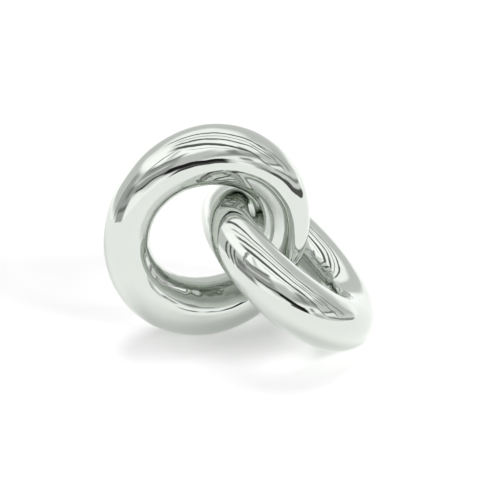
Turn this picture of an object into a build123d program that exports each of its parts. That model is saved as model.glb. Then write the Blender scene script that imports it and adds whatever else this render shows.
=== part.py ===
from build123d import *
import math
import os

# Two linked, thick-tubed metal rings that stand on a table. The standing ring is upright on a
# small ground flat. The leaning ring passes through it, rests on a flat of its own at its lowest
# point and slopes up into the standing ring's opening.
#
# Frame: +Z up, the table top is z = 0, and the origin is on the table under the standing ring's
# centre. +X runs towards the leaning ring, and -Y faces the viewer.
#
# Each ring is a hollow tube made as two half-ring shells, because a ring can only be linked to
# another before it is closed. A short sleeve inside each joint lines the halves up, and a thin
# felt pad is glued to the ground flat.

# Driving dimensions, in millimetres and degrees
RING_RADIUS = 57.0              # centre of the ring to the centre of its tube
WALL = 4.2                      # shell thickness
FLAT_DEPTH = 2.85               # ground off the lowest side of each ring
PAD_THICKNESS = 0.6
PAD_MARGIN = 1.3                # a pad is the flat that a tube this much thinner would have
PAD_REACH = 60.0                # degrees of the ring on each side of the lowest point, past the flat's ends
SLEEVE_WALL = 2.0
SLEEVE_HALF_TURN = 8.0          # degrees of the ring that a sleeve fills on each side of a joint
SLEEVE_CLEARANCE = 0.1          # radial gap between a sleeve and the shell around it
SECTION_STEP = 12.0             # degrees between the circles that a tube is lofted through
LOWEST_ANGLE = 270.0            # where a ring's lowest side is, counted around the ring
GRINDING_DEPTH = 20.0           # the block that is ground away reaches this far down

# The tubes are finished by hand and swell twice around the ring. At an angle around the ring the
# tube's radius is tube_radius * (1 + swell * cos(2 * (angle - swell_angle))). Angle 0 is on the
# ring's level diameter and angle 90 is its highest side.
STANDING_RING = {
    "tube_radius": 18.3,
    "swell": 0.140,
    "swell_angle": 80.0,
    "turn": 17.1,               # turn of its level diameter from +X, seen from above
    "incline": 90.0,            # slope of the ring's plane from the table
    "centre": (0.0, 0.0),       # place of its centre, seen from above
}
LEANING_RING = {
    "tube_radius": 18.5,
    "swell": 0.066,
    "swell_angle": 12.5,
    "turn": 92.5,
    "incline": 40.5,
    "centre": (55.6, -2.4),
}


def tube_radius(ring, angle):
    """Outer radius of the tube at an angle around the ring."""
    phase = math.radians(2.0 * (angle - ring["swell_angle"]))
    return ring["tube_radius"] * (1.0 + ring["swell"] * math.cos(phase))


def section_circle(ring, angle, inset):
    """A round section of the tube. The ring lies in the XY plane of its own frame."""
    turn = math.radians(angle)
    centre = (RING_RADIUS * math.cos(turn), RING_RADIUS * math.sin(turn), 0.0)
    along = (-math.sin(turn), math.cos(turn), 0.0)
    section_plane = Plane(origin=centre, x_dir=(0, 0, 1), z_dir=along)
    return section_plane * Circle(tube_radius(ring, angle) - inset)


def bent_rod(ring, start, end, inset):
    """A solid bent rod between two angles, its surface set in from the tube's outside."""
    steps = max(4, round((end - start) / SECTION_STEP))
    angles = [start + (end - start) * step / steps for step in range(steps + 1)]
    return loft([section_circle(ring, angle, inset) for angle in angles])


def bent_tube(ring, start, end, outer_inset, inner_inset):
    """A hollow bend between two insets from the tube's outside."""
    return bent_rod(ring, start, end, outer_inset) - bent_rod(ring, start, end, inner_inset)


def ring_plane(ring):
    """The plane that carries the ring: X is its level diameter and Z is its axis."""
    turn = math.radians(ring["turn"])
    incline = math.radians(ring["incline"])
    level = (math.cos(turn), math.sin(turn), 0.0)
    axis = (
        math.sin(turn) * math.sin(incline),
        -math.cos(turn) * math.sin(incline),
        math.cos(incline),
    )
    drop_to_foot = RING_RADIUS * math.sin(incline) + tube_radius(ring, LOWEST_ANGLE)
    centre_height = drop_to_foot - FLAT_DEPTH + PAD_THICKNESS
    return Plane(origin=(*ring["centre"], centre_height), x_dir=level, z_dir=axis)


def half_shell(ring, start):
    """Half of the ring as a hollow bend, ground flat where it would reach below the pad."""
    bend = ring_plane(ring) * bent_tube(ring, start, start + 180.0, 0.0, WALL)
    reach = 4.0 * RING_RADIUS
    block = Box(reach, reach, GRINDING_DEPTH)
    return bend - Pos(*ring["centre"], PAD_THICKNESS - GRINDING_DEPTH / 2.0) * block


def joint_sleeve(ring, angle):
    """The sleeve inside the joint at an angle around the ring."""
    outer_inset = WALL + SLEEVE_CLEARANCE
    start = angle - SLEEVE_HALF_TURN
    end = angle + SLEEVE_HALF_TURN
    return ring_plane(ring) * bent_tube(ring, start, end, outer_inset, outer_inset + SLEEVE_WALL)


def rest_pad(ring):
    """The pad under the ring, on the table. It follows the outline of the ground flat, drawn in."""
    tube = ring_plane(ring) * bent_rod(ring, LOWEST_ANGLE - PAD_REACH, LOWEST_ANGLE + PAD_REACH, PAD_MARGIN)
    reach = 4.0 * RING_RADIUS
    slice_height = PAD_THICKNESS * 1.5
    flat_slice = Pos(*ring["centre"], slice_height) * Box(reach, reach, PAD_THICKNESS)
    return Pos(0, 0, -PAD_THICKNESS) * (tube & flat_slice)


def main():
    nodes = {
        "standing_lower_shell": half_shell(STANDING_RING, 180.0),
        "standing_upper_shell": half_shell(STANDING_RING, 0.0),
        "standing_right_sleeve": joint_sleeve(STANDING_RING, 0.0),
        "standing_left_sleeve": joint_sleeve(STANDING_RING, 180.0),
        "standing_rest_pad": rest_pad(STANDING_RING),
        "leaning_lower_shell": half_shell(LEANING_RING, 180.0),
        "leaning_upper_shell": half_shell(LEANING_RING, 0.0),
        "leaning_far_sleeve": joint_sleeve(LEANING_RING, 0.0),
        "leaning_near_sleeve": joint_sleeve(LEANING_RING, 180.0),
        "leaning_rest_pad": rest_pad(LEANING_RING),
    }
    os.makedirs("parts", exist_ok=True)
    for name, solid in nodes.items():
        export_step(solid, f"parts/{name}.step")


main()
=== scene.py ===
import math

import bmesh
import bpy
import numpy as np
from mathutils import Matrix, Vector


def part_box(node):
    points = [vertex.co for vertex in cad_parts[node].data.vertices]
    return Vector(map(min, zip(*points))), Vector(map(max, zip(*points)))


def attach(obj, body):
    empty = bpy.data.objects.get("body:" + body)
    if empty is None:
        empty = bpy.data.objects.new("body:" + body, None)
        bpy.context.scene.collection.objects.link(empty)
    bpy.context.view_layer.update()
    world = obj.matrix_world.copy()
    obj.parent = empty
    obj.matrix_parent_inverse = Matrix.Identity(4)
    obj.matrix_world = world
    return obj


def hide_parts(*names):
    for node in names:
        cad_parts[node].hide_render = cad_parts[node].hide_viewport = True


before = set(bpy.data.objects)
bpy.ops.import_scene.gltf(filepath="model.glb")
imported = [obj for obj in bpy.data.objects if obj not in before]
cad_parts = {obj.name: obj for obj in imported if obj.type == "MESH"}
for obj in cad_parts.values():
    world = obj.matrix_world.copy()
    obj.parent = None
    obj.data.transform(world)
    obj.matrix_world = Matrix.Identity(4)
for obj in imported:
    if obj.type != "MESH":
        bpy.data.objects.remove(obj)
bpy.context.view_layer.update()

# Two linked, thick-tubed metal rings with a mirror polish, on a white board. Lengths are in metres
# and angles in degrees, unless a comment says otherwise.

# The rings' measures are the CAD part's own. At an angle along a ring, its tube's radius is
# tube_radius * (1 + swell * cos(2 * (angle - swell_angle))). Angle 0 is on the ring's level
# diameter and angle 90 is its highest side.
RING_RADIUS = 0.057             # centre of a ring to the centre of its tube
WALL = 0.0042                   # shell thickness
STANDING = {
    "tube_radius": 0.0183,
    "swell": 0.140,
    "swell_angle": 80.0,
    "turn": 17.1,               # turn of its level diameter from +X, seen from above
    "incline": 90.0,            # slope of the ring's plane from the table
    "sleeves": ("standing_right_sleeve", "standing_left_sleeve"),
    "pad": "standing_rest_pad",
}
LEANING = {
    "tube_radius": 0.0185,
    "swell": 0.066,
    "swell_angle": 12.5,
    "turn": 92.5,
    "incline": 40.5,
    "sleeves": ("leaning_far_sleeve", "leaning_near_sleeve"),
    "pad": "leaning_rest_pad",
}
HALVES = (("upper", 0.0), ("lower", 180.0))     # a half shell and the angle that it starts from

# The hand-polished surface is not quite true. Each wave is (height, waves along the ring,
# waves around the tube, phase in radians).
POLISHING_WAVES = (
    (0.000050, 5, 2, 0.7),
    (0.000030, 11, -3, 2.1),
    (0.000018, 19, 1, 4.0),
    (0.000012, 29, 5, 1.3),
)

STEPS_ALONG = 240               # mesh steps along half a ring, outside
STEPS_ALONG_INSIDE = 40
STEPS_AROUND = 144              # mesh steps around the tube
SLOPE_STEP = 1.0e-4             # radians, the step that surface directions are measured over

# What a face of a shell belongs to
OUTSIDE = 1
INSIDE = 2
JOINT_FACE = 3
GROUND_FLAT = 4

# Camera: a product shot from a little above
CAMERA_PLACE = Vector((0.02195, -0.92762, 0.51824))
CAMERA_TILT = 64.16             # degrees up from straight down
CAMERA_LENS = 112.5             # millimetres

# The rings stand on a white board. Past its nearer edges the metal mirrors the room.
BOARD_TURN = -12.0
BOARD_FRONT = 0.85              # distances of the board's edges from the standing ring
BOARD_BACK = 1.60
BOARD_LEFT = 0.90
BOARD_RIGHT = 0.42
BOARD_GLOW = 0.37               # light that comes up through the board

# A light's width is how wide it looks in the sky.
OVERHEAD_LIGHT = {"strength": 1.50, "width": 40.0, "comes_from": (0.07, 0.37, 0.93)}
RIGHT_LIGHT = {"strength": 3.20, "width": 28.0, "comes_from": (0.80, -0.46, 0.375)}

# Brightness of the painted room. 1 is the plain white that the camera sees.
SEEN_BACKGROUND = 1.0
SOFT_LIGHT = 0.15               # what matt surfaces get from the room
OPEN_ROOM = 1.36                # what the metal mirrors where nothing else is painted
WOBBLE = 0.06                   # how far edges in the room wander, as part of the distance
WOBBLE_SCALE = 7.0
LOWEST_CEILING = 0.02           # unit directions lower than this count as this high
CEILING_FROM = 12.0             # elevation where the ceiling begins
CEILING_FADE = 10.0
STRIP_END_FADE = 0.3

MIRROR_BOUNCES = 16             # the rings mirror each other many times where they cross


# ---------------------------------------------------------------------------------------------
# Ring geometry
# ---------------------------------------------------------------------------------------------

def box_centre(node):
    low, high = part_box(node)
    return np.array((low + high) / 2.0)


def ring_axes(ring):
    """The ring's level, up-slope and axis directions."""
    turn = math.radians(ring["turn"])
    incline = math.radians(ring["incline"])
    level = np.array((math.cos(turn), math.sin(turn), 0.0))
    axis = np.array((
        math.sin(turn) * math.sin(incline),
        -math.cos(turn) * math.sin(incline),
        math.cos(incline),
    ))
    return level, np.cross(axis, level), axis


def place_ring(ring):
    """Takes the ring's centre and the height of its ground flat from the frame."""
    first, second = ring["sleeves"]
    ring["centre"] = (box_centre(first) + box_centre(second)) / 2.0
    ring["flat_height"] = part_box(ring["pad"])[1].z
    ring["axes"] = ring_axes(ring)


def even_radius(ring, along):
    """Tube radius with its swell, before the polishing waves. Angles are arrays in radians."""
    swell_phase = 2.0 * (along - math.radians(ring["swell_angle"]))
    return ring["tube_radius"] * (1.0 + ring["swell"] * np.cos(swell_phase))


def outer_radius(ring, along, around):
    radius = even_radius(ring, along)
    for height, waves_along, waves_around, phase in POLISHING_WAVES:
        radius = radius + height * np.sin(waves_along * along + waves_around * around + phase)
    return radius


def inner_radius(ring, along, around):
    """The inside isn't polished, so its radius is the same all around the tube."""
    return even_radius(ring, along) - WALL


def outward_directions(ring, along):
    """Directions from the ring's centre towards the centre of its tube."""
    level, up_slope, _ = ring["axes"]
    return np.multiply.outer(np.cos(along), level) + np.multiply.outer(np.sin(along), up_slope)


def tube_points(ring, along, around, radius_of):
    """Points of a tube surface at angles along the ring and around the tube, in radians."""
    radius = radius_of(ring, along, around)
    from_axis = (RING_RADIUS + radius * np.cos(around))[..., None]
    above_plane = np.multiply.outer(radius * np.sin(around), ring["axes"][2])
    return ring["centre"] + outward_directions(ring, along) * from_axis + above_plane


def tube_angles(ring, points):
    """The angles along the ring and around the tube of points on its surface."""
    level, up_slope, axis = ring["axes"]
    offset = points - ring["centre"]
    across = offset @ level
    up = offset @ up_slope
    along = np.arctan2(up, across)
    around = np.arctan2(offset @ axis, np.hypot(across, up) - RING_RADIUS)
    return along, around


def outer_normals(ring, points):
    """Exact surface directions of the outer skin, from small steps along and around it."""
    along, around = tube_angles(ring, points)
    run = tube_points(ring, along + SLOPE_STEP, around, outer_radius)
    run = run - tube_points(ring, along - SLOPE_STEP, around, outer_radius)
    rise = tube_points(ring, along, around + SLOPE_STEP, outer_radius)
    rise = rise - tube_points(ring, along, around - SLOPE_STEP, outer_radius)
    normal = np.cross(run, rise)
    normal /= np.linalg.norm(normal, axis=1, keepdims=True)
    from_tube_centre = points - ring["centre"] - outward_directions(ring, along) * RING_RADIUS
    facing = np.sign(np.sum(normal * from_tube_centre, axis=1, keepdims=True))
    return normal * facing


def add_rows(mesh, ring, begin, steps, radius_of):
    """Adds a tube's vertices along half a ring and returns them row by row, each row a circle
    around the tube. The half ring begins at an angle in radians."""
    along = np.linspace(begin, begin + math.pi, steps + 1)
    around = np.arange(STEPS_AROUND) * (2.0 * math.pi / STEPS_AROUND)
    grid_along, grid_around = np.meshgrid(along, around, indexing="ij")
    points = tube_points(ring, grid_along, grid_around, radius_of)
    return [[mesh.verts.new(point) for point in row] for row in points]


def skin_rows(mesh, rows, layer, region):
    """Joins neighbouring rows with quads that close around the tube."""
    for lower, upper in zip(rows, rows[1:]):
        for index in range(STEPS_AROUND):
            following = (index + 1) % STEPS_AROUND
            corners = [lower[index], upper[index], upper[following], lower[following]]
            if region == INSIDE:
                corners.reverse()
            mesh.faces.new(corners)[layer] = region


def cap_end(mesh, outer_row, inner_row, layer, at_start):
    """Closes the shell wall at a joint face."""
    for index in range(STEPS_AROUND):
        following = (index + 1) % STEPS_AROUND
        corners = [outer_row[index], outer_row[following], inner_row[following], inner_row[index]]
        if not at_start:
            corners.reverse()
        mesh.faces.new(corners)[layer] = JOINT_FACE


def grind_flat(mesh, height, layer):
    """Cuts the tube off at the height of its ground flat and closes the cut with one flat face.
    An upper half doesn't reach the flat and stays as it is."""
    geometry = mesh.verts[:] + mesh.edges[:] + mesh.faces[:]
    bmesh.ops.bisect_plane(
        mesh, geom=geometry, plane_co=(0, 0, height), plane_no=(0, 0, -1), clear_outer=True
    )
    rim = [edge for edge in mesh.edges if edge.is_boundary]
    if rim:
        for face in bmesh.ops.contextual_create(mesh, geom=rim)["faces"]:
            face[layer] = GROUND_FLAT


def set_smoothness(mesh, layer):
    """Tubes are smooth. Joint faces and the ground flat are flat, with sharp edges."""
    for edge in mesh.edges:
        regions = {face[layer] for face in edge.link_faces}
        edge.smooth = len(regions) == 1
    for face in mesh.faces:
        face.smooth = face[layer] in (OUTSIDE, INSIDE)


def set_outer_normals(ring, data):
    """Shades the outer skin with its exact directions, so that no seam shows at the joints."""
    places = np.zeros(len(data.vertices) * 3)
    data.vertices.foreach_get("co", places)
    exact = outer_normals(ring, places.reshape(-1, 3))
    regions = data.attributes["region"].data
    custom = np.zeros((len(data.loops), 3))
    for polygon in data.polygons:
        if regions[polygon.index].value == OUTSIDE:
            for loop in polygon.loop_indices:
                custom[loop] = exact[data.loops[loop].vertex_index]
    data.normals_split_custom_set(custom.tolist())


def shell_data(name, ring, start):
    """The mesh of half a ring: a hollow bend with a true skin."""
    begin = math.radians(start)
    mesh = bmesh.new()
    layer = mesh.faces.layers.int.new("region")
    outer_rows = add_rows(mesh, ring, begin, STEPS_ALONG, outer_radius)
    inner_rows = add_rows(mesh, ring, begin, STEPS_ALONG_INSIDE, inner_radius)
    skin_rows(mesh, outer_rows, layer, OUTSIDE)
    skin_rows(mesh, inner_rows, layer, INSIDE)
    cap_end(mesh, outer_rows[0], inner_rows[0], layer, at_start=True)
    cap_end(mesh, outer_rows[-1], inner_rows[-1], layer, at_start=False)
    grind_flat(mesh, ring["flat_height"], layer)
    bmesh.ops.recalc_face_normals(mesh, faces=mesh.faces[:])
    set_smoothness(mesh, layer)
    data = bpy.data.meshes.new(name)
    mesh.to_mesh(data)
    mesh.free()
    set_outer_normals(ring, data)
    return data


def add_half_shell(label, ring, half, start, material):
    """Half a ring, which stands for its CAD shell."""
    node = f"{label}_{half}_shell"
    name = f"{node}_skin"
    data = shell_data(name, ring, start)
    data.materials.append(material)
    piece = bpy.data.objects.new(name, data)
    bpy.context.scene.collection.objects.link(piece)
    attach(piece, f"{label}_ring")
    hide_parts(node)


def give_material(node, material):
    """Gives a CAD node that stays visible its material."""
    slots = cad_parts[node].data.materials
    slots.clear()
    slots.append(material)


# ---------------------------------------------------------------------------------------------
# Materials
# ---------------------------------------------------------------------------------------------

def new_material(name):
    """A material with its node tree, its principled shader and its object coordinates."""
    material = bpy.data.materials.new(name)
    material.use_nodes = True
    tree = material.node_tree
    coordinates = tree.nodes.new("ShaderNodeTexCoord").outputs["Object"]
    return material, tree, tree.nodes["Principled BSDF"], coordinates


def noise(tree, coordinates, scale, detail, stretch=(1.0, 1.0, 1.0)):
    mapping = tree.nodes.new("ShaderNodeMapping")
    mapping.inputs["Scale"].default_value = stretch
    tree.links.new(coordinates, mapping.inputs["Vector"])
    texture = tree.nodes.new("ShaderNodeTexNoise")
    texture.inputs["Scale"].default_value = scale
    texture.inputs["Detail"].default_value = detail
    tree.links.new(mapping.outputs["Vector"], texture.inputs["Vector"])
    return texture.outputs["Fac"]


def remap(tree, value, old_range, new_range):
    node = tree.nodes.new("ShaderNodeMapRange")
    node.inputs["From Min"].default_value = old_range[0]
    node.inputs["From Max"].default_value = old_range[1]
    node.inputs["To Min"].default_value = new_range[0]
    node.inputs["To Max"].default_value = new_range[1]
    tree.links.new(value, node.inputs["Value"])
    return node.outputs["Result"]


def blend_colours(tree, factor, first, second):
    node = tree.nodes.new("ShaderNodeMix")
    node.data_type = "RGBA"
    tree.links.new(factor, node.inputs["Factor"])
    node.inputs["A"].default_value = (*first, 1.0)
    node.inputs["B"].default_value = (*second, 1.0)
    return node.outputs["Result"]


def bump(tree, height, strength, distance, below=None):
    """A bumped surface direction, on top of another one if it is given."""
    node = tree.nodes.new("ShaderNodeBump")
    node.inputs["Strength"].default_value = strength
    node.inputs["Distance"].default_value = distance
    tree.links.new(height, node.inputs["Height"])
    if below is not None:
        tree.links.new(below, node.inputs["Normal"])
    return node.outputs["Normal"]


def polished_nickel():
    """Mirror-polished nickel plate: faint tint changes, buffing marks and slightly dull patches."""
    material, tree, surface, coordinates = new_material("polished_nickel")
    patches = noise(tree, coordinates, scale=22.0, detail=3.0)
    tint = blend_colours(tree, patches, (0.604, 0.632, 0.596), (0.636, 0.665, 0.627))
    tree.links.new(tint, surface.inputs["Base Color"])
    surface.inputs["Metallic"].default_value = 1.0
    smears = noise(tree, coordinates, scale=60.0, detail=4.0, stretch=(1.0, 1.0, 3.0))
    roughness = remap(tree, smears, old_range=(0.3, 0.8), new_range=(0.012, 0.055))
    tree.links.new(roughness, surface.inputs["Roughness"])
    orange_peel = noise(tree, coordinates, scale=140.0, detail=2.0)
    buffing = noise(tree, coordinates, scale=900.0, detail=2.0, stretch=(1.0, 1.0, 6.0))
    peel_bump = bump(tree, orange_peel, strength=0.10, distance=0.00006)
    buffing_bump = bump(tree, buffing, strength=0.06, distance=0.00001, below=peel_bump)
    tree.links.new(buffing_bump, surface.inputs["Normal"])
    return material


def raw_aluminium():
    """Turned aluminium for the sleeves inside the joints."""
    material, tree, surface, coordinates = new_material("raw_aluminium")
    lines = noise(tree, coordinates, scale=400.0, detail=2.0, stretch=(8.0, 1.0, 1.0))
    tint = blend_colours(tree, lines, (0.55, 0.56, 0.57), (0.72, 0.73, 0.74))
    tree.links.new(tint, surface.inputs["Base Color"])
    surface.inputs["Metallic"].default_value = 1.0
    roughness = remap(tree, lines, old_range=(0.2, 0.8), new_range=(0.25, 0.45))
    tree.links.new(roughness, surface.inputs["Roughness"])
    tree.links.new(bump(tree, lines, strength=0.3, distance=0.00005), surface.inputs["Normal"])
    return material


def pressed_felt():
    """Grey pressed felt for the pads."""
    material, tree, surface, coordinates = new_material("pressed_felt")
    fibres = noise(tree, coordinates, scale=1600.0, detail=6.0)
    clumps = noise(tree, coordinates, scale=260.0, detail=3.0)
    tint = blend_colours(tree, clumps, (0.18, 0.18, 0.17), (0.34, 0.34, 0.33))
    tree.links.new(tint, surface.inputs["Base Color"])
    surface.inputs["Roughness"].default_value = 0.95
    surface.inputs["Sheen Weight"].default_value = 0.4
    tree.links.new(bump(tree, fibres, strength=0.8, distance=0.0003), surface.inputs["Normal"])
    return material


def board_white():
    """Matt white board on a light table, which glows a little through it and softens shadows."""
    material, tree, surface, coordinates = new_material("studio_board")
    mottle = noise(tree, coordinates, scale=30.0, detail=4.0)
    tint = blend_colours(tree, mottle, (0.86, 0.86, 0.86), (0.88, 0.88, 0.88))
    tree.links.new(tint, surface.inputs["Base Color"])
    surface.inputs["Roughness"].default_value = 0.6
    surface.inputs["Specular IOR Level"].default_value = 0.2
    surface.inputs["Emission Color"].default_value = (1.0, 1.0, 1.0, 1.0)
    surface.inputs["Emission Strength"].default_value = BOARD_GLOW
    return material


# ---------------------------------------------------------------------------------------------
# The room that the metal mirrors
# ---------------------------------------------------------------------------------------------

class StudioSky:
    """A room painted by direction. Bearing 0 is towards the camera, 90 is to the right of the
    picture and 180 is behind the rings. Elevation is from the table. Ceiling places are (right,
    back) per unit of height. What is painted later covers what was painted before."""

    def __init__(self):
        world = bpy.data.worlds.new("studio")
        world.use_nodes = True
        bpy.context.scene.world = world
        self.tree = world.node_tree
        self.tree.nodes.clear()
        direction = self.tree.nodes.new("ShaderNodeTexCoord").outputs["Generated"]
        split = self.tree.nodes.new("ShaderNodeSeparateXYZ")
        self.tree.links.new(self.wobbled(direction), split.inputs["Vector"])
        right, back, up = split.outputs
        in_degrees = math.degrees(1.0)
        towards_camera = self.math("MULTIPLY", back, -1.0)
        self.bearing = self.math("MULTIPLY", self.math("ARCTAN2", right, towards_camera), in_degrees)
        self.elevation = self.math("MULTIPLY", self.math("ARCSINE", up), in_degrees)
        height = self.math("MAXIMUM", up, LOWEST_CEILING)
        self.ceiling_right = self.math("DIVIDE", right, height)
        self.ceiling_back = self.math("DIVIDE", back, height)
        self.level = self.math("ADD", OPEN_ROOM, 0.0)

    def wobbled(self, direction):
        """Bends every edge in the room a little, as the things in a real room do."""
        texture = self.tree.nodes.new("ShaderNodeTexNoise")
        texture.inputs["Scale"].default_value = WOBBLE_SCALE
        texture.inputs["Detail"].default_value = 3.0
        self.tree.links.new(direction, texture.inputs["Vector"])
        shift = self.tree.nodes.new("ShaderNodeVectorMath")
        shift.operation = "MULTIPLY_ADD"
        self.tree.links.new(texture.outputs["Color"], shift.inputs[0])
        shift.inputs[1].default_value = (WOBBLE, WOBBLE, WOBBLE)
        self.tree.links.new(direction, shift.inputs[2])
        recentred = self.tree.nodes.new("ShaderNodeVectorMath")
        recentred.operation = "SUBTRACT"
        self.tree.links.new(shift.outputs["Vector"], recentred.inputs[0])
        recentred.inputs[1].default_value = (WOBBLE / 2.0, WOBBLE / 2.0, WOBBLE / 2.0)
        unit = self.tree.nodes.new("ShaderNodeVectorMath")
        unit.operation = "NORMALIZE"
        self.tree.links.new(recentred.outputs["Vector"], unit.inputs[0])
        return unit.outputs["Vector"]

    def math(self, operation, *values):
        """One step of arithmetic on numbers and node outputs."""
        node = self.tree.nodes.new("ShaderNodeMath")
        node.operation = operation
        for index, value in enumerate(values):
            if isinstance(value, (int, float)):
                node.inputs[index].default_value = value
            else:
                self.tree.links.new(value, node.inputs[index])
        return node.outputs["Value"]

    def step(self, value, edge, soft):
        """0 below the edge, 1 above it, over a soft width."""
        node = self.tree.nodes.new("ShaderNodeMapRange")
        node.interpolation_type = "SMOOTHSTEP"
        node.inputs["From Min"].default_value = edge - soft / 2.0
        node.inputs["From Max"].default_value = edge + soft / 2.0
        self.tree.links.new(value, node.inputs["Value"])
        return node.outputs["Result"]

    def between(self, value, low, high, soft):
        rise = self.step(value, low, soft)
        fall = self.math("SUBTRACT", 1.0, self.step(value, high, soft))
        return self.math("MULTIPLY", rise, fall)

    def paint(self, mask, brightness):
        node = self.tree.nodes.new("ShaderNodeMix")
        self.tree.links.new(mask, node.inputs["Factor"])
        self.tree.links.new(self.level, node.inputs["A"])
        node.inputs["B"].default_value = brightness
        self.level = node.outputs["Result"]

    def window(self, bearings, elevations, brightness, soft, slope=0.0):
        """A patch between two bearings and two elevations, with soft edges (across, up). Bearings
        may pass behind, over 180. A slope tilts the patch about its middle, in degrees up per
        degree to the right."""
        low, high = bearings
        middle = (low + high) / 2.0
        turned = self.math("SUBTRACT", self.bearing, middle)
        turned = self.math("WRAP", turned, 180.0, -180.0)
        across = self.between(turned, low - middle, high - middle, soft[0])
        level = self.math("SUBTRACT", self.elevation, self.math("MULTIPLY", turned, slope))
        up = self.between(level, elevations[0], elevations[1], soft[1])
        self.paint(self.math("MULTIPLY", across, up), brightness)

    def posts(self, bearings, half_width, elevations, brightness, soft):
        """Upright strips around bearings."""
        for bearing in bearings:
            edges = (bearing - half_width, bearing + half_width)
            self.window(edges, elevations, brightness, soft)

    def ceiling_strip(self, back_at_middle, slope, width, rights, brightness, soft):
        """A straight strip across the ceiling: back = back_at_middle + slope * right."""
        slid = self.math("SUBTRACT", self.ceiling_back, self.math("MULTIPLY", self.ceiling_right, slope))
        across = self.between(slid, back_at_middle - width / 2.0, back_at_middle + width / 2.0, soft)
        along = self.between(self.ceiling_right, rights[0], rights[1], STRIP_END_FADE)
        overhead = self.step(self.elevation, CEILING_FROM, CEILING_FADE)
        mask = self.math("MULTIPLY", self.math("MULTIPLY", across, along), overhead)
        self.paint(mask, brightness)

    def finish(self):
        """Shows the painted room to the metal, a plain tone to the camera and a plain soft light
        to matt surfaces."""
        path = self.tree.nodes.new("ShaderNodeLightPath")
        self.paint(path.outputs["Is Diffuse Ray"], SOFT_LIGHT)
        self.paint(path.outputs["Is Camera Ray"], SEEN_BACKGROUND)
        background = self.tree.nodes.new("ShaderNodeBackground")
        background.inputs["Color"].default_value = (1.0, 1.0, 1.0, 1.0)
        self.tree.links.new(self.level, background.inputs["Strength"])
        output = self.tree.nodes.new("ShaderNodeOutputWorld")
        self.tree.links.new(background.outputs["Background"], output.inputs["Surface"])


# Every patch below is given by its bearings, its elevations, its brightness, the widths of its
# soft edges and, for some, its slope.

def paint_backdrop(sky):
    """Behind the rings: a grey backdrop, bright at its foot."""
    sky.window((108, 244), (6, 46), 0.78, (24.0, 16.0))
    sky.window((190, 232), (-16, 13), 1.50, (20.0, 12.0))


def paint_front(sky):
    """Behind the camera: a grey wall with darker patches and a pale rail, and white above."""
    sky.window((-12, 30), (2, 38), 0.78, (14.0, 12.0))
    sky.window((26, 66), (2, 30), 0.74, (14.0, 12.0))
    sky.window((26, 68), (13, 21), 0.52, (12.0, 4.0))
    sky.window((40, 50), (15, 30), 0.36, (6.0, 6.0))
    sky.window((22, 70), (1, 10), 1.30, (14.0, 4.0))
    sky.window((-26, 62), (40, 62), 1.48, (20.0, 8.0))


def paint_shelves(sky):
    """Front left: shelves in shade, with a pale board, a dark one and a grey panel above."""
    sky.window((-52, -1), (9, 44), 0.46, (10.0, 10.0))
    sky.window((-50, -6), (24, 29), 0.85, (12.0, 3.0), 0.15)
    sky.window((-40, 2), (38, 41), 0.22, (12.0, 2.0), 0.20)
    sky.window((-50, -18), (46, 61), 0.84, (10.0, 6.0))


def paint_left(sky):
    """Left: a white panel over a grey wall with narrow dark frames."""
    sky.window((-98, -28), (40, 68), 1.48, (10.0, 7.0))
    sky.window((-128, -52), (0, 36), 0.80, (10.0, 8.0))
    sky.posts((-84, -77, -70), 1.6, (-4, 34), 0.16, (1.6, 8.0))
    sky.window((-66, -50), (-6, 24), 0.30, (8.0, 8.0))


def paint_right(sky):
    """Right: grey panels between darker frames, with a dark line across one of them."""
    sky.window((92, 126), (-2, 24), 0.72, (8.0, 8.0))
    sky.window((66, 92), (6, 24), 0.80, (8.0, 5.0))
    sky.window((64, 92), (6.5, 9.0), 0.30, (6.0, 1.6), 0.10)
    sky.posts((62, 88, 104), 2.0, (-2, 40), 0.36, (2.0, 8.0))


def paint_ceiling(sky):
    """Above: dark seams between light panels. The last one slants away at the left."""
    sky.ceiling_strip(0.37, -0.07, 0.10, (-0.6, 3.4), 0.18, 0.03)
    sky.ceiling_strip(0.14, -0.10, 0.05, (-0.4, 3.4), 0.45, 0.03)
    sky.ceiling_strip(-0.07, -0.15, 0.10, (-0.4, 3.4), 0.20, 0.03)
    sky.ceiling_strip(-0.38, -0.33, 0.18, (-0.4, 3.4), 0.16, 0.04)
    sky.ceiling_strip(-0.66, -0.36, 0.04, (0.0, 3.0), 0.50, 0.03)
    sky.ceiling_strip(-0.22, 0.60, 0.09, (-1.6, -0.3), 0.42, 0.03)


def paint_past_board(sky):
    """The room past the board's nearer edges: patches of shade and a dark skirting."""
    # Left
    sky.window((-70, -40), (-14, 10), 0.50, (8.0, 5.0))
    sky.window((-70, -42), (-11, -7), 0.22, (8.0, 2.0))
    sky.window((-70, -42), (1, 5), 0.24, (8.0, 2.0))
    # Front
    sky.window((-36, 4), (11, 14.5), 0.05, (6.0, 2.0))
    sky.window((10, 36), (-30, 1), 0.10, (6.0, 3.0))
    sky.window((44, 66), (-30, 0), 0.66, (6.0, 3.0))
    sky.window((50, 76), (-30, -9), 0.31, (8.0, 5.0))
    sky.window((4, 50), (-3.4, -1.8), 0.70, (8.0, 1.0), -0.30)
    sky.window((-2, 34), (0, 10), 0.02, (6.0, 2.0), -0.40)
    sky.window((43, 50), (1, 7), 0.42, (4.0, 2.0))
    # Right
    sky.window((56, 118), (-40, 2), 0.90, (8.0, 5.0))
    sky.window((52, 118), (-16, -10), 0.12, (8.0, 2.0))
    sky.window((66, 118), (-5, -2), 0.34, (8.0, 2.0), -0.06)


def paint_studio():
    sky = StudioSky()
    paint_backdrop(sky)
    paint_front(sky)
    paint_shelves(sky)
    paint_left(sky)
    paint_right(sky)
    paint_ceiling(sky)
    paint_past_board(sky)
    sky.finish()


# ---------------------------------------------------------------------------------------------
# Board, lights and camera
# ---------------------------------------------------------------------------------------------

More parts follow.
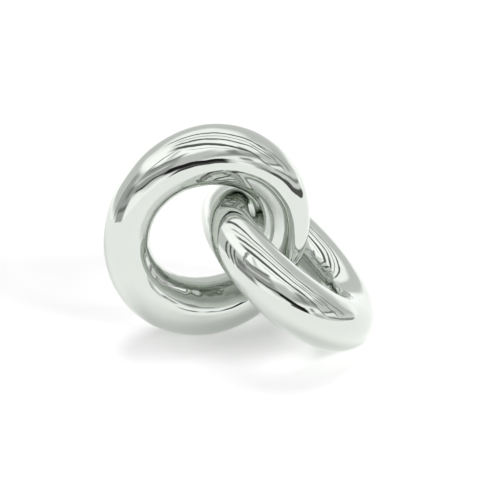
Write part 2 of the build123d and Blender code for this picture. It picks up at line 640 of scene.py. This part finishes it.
def add_board(material):
    turn = math.radians(BOARD_TURN)
    right = Vector((math.cos(turn), math.sin(turn), 0.0))
    back = Vector((-math.sin(turn), math.cos(turn), 0.0))
    corners = [
        -BOARD_LEFT * right - BOARD_FRONT * back,
        BOARD_RIGHT * right - BOARD_FRONT * back,
        BOARD_RIGHT * right + BOARD_BACK * back,
        -BOARD_LEFT * right + BOARD_BACK * back,
    ]
    data = bpy.data.meshes.new("studio_board")
    data.from_pydata(corners, [], [(0, 1, 2, 3)])
    data.materials.append(material)
    board = bpy.data.objects.new("studio_board", data)
    bpy.context.scene.collection.objects.link(board)


def add_light(name, strength, width, comes_from):
    """A broad soft light from far away. The metal doesn't mirror it."""
    data = bpy.data.lights.new(name, "SUN")
    data.energy = strength
    data.angle = math.radians(width)
    light = bpy.data.objects.new(name, data)
    light.rotation_euler = Vector(comes_from).to_track_quat("Z", "Y").to_euler()
    light.visible_glossy = False
    bpy.context.scene.collection.objects.link(light)


def add_camera():
    data = bpy.data.cameras.new("camera")
    data.lens = CAMERA_LENS
    camera = bpy.data.objects.new("camera", data)
    camera.location = CAMERA_PLACE
    camera.rotation_euler = (math.radians(CAMERA_TILT), 0.0, 0.0)
    bpy.context.scene.collection.objects.link(camera)
    bpy.context.scene.camera = camera


# ---------------------------------------------------------------------------------------------
# Build
# ---------------------------------------------------------------------------------------------

nickel = polished_nickel()
aluminium = raw_aluminium()
felt = pressed_felt()

for label, ring in (("standing", STANDING), ("leaning", LEANING)):
    place_ring(ring)
    for half, start in HALVES:
        add_half_shell(label, ring, half, start, nickel)
    for sleeve in ring["sleeves"]:
        give_material(sleeve, aluminium)
    give_material(ring["pad"], felt)

add_board(board_white())
add_light("overhead_light", **OVERHEAD_LIGHT)
add_light("right_light", **RIGHT_LIGHT)
paint_studio()
add_camera()
bpy.context.scene.view_settings.view_transform = "Standard"
bpy.context.scene.cycles.max_bounces = MIRROR_BOUNCES
bpy.context.scene.cycles.glossy_bounces = MIRROR_BOUNCES
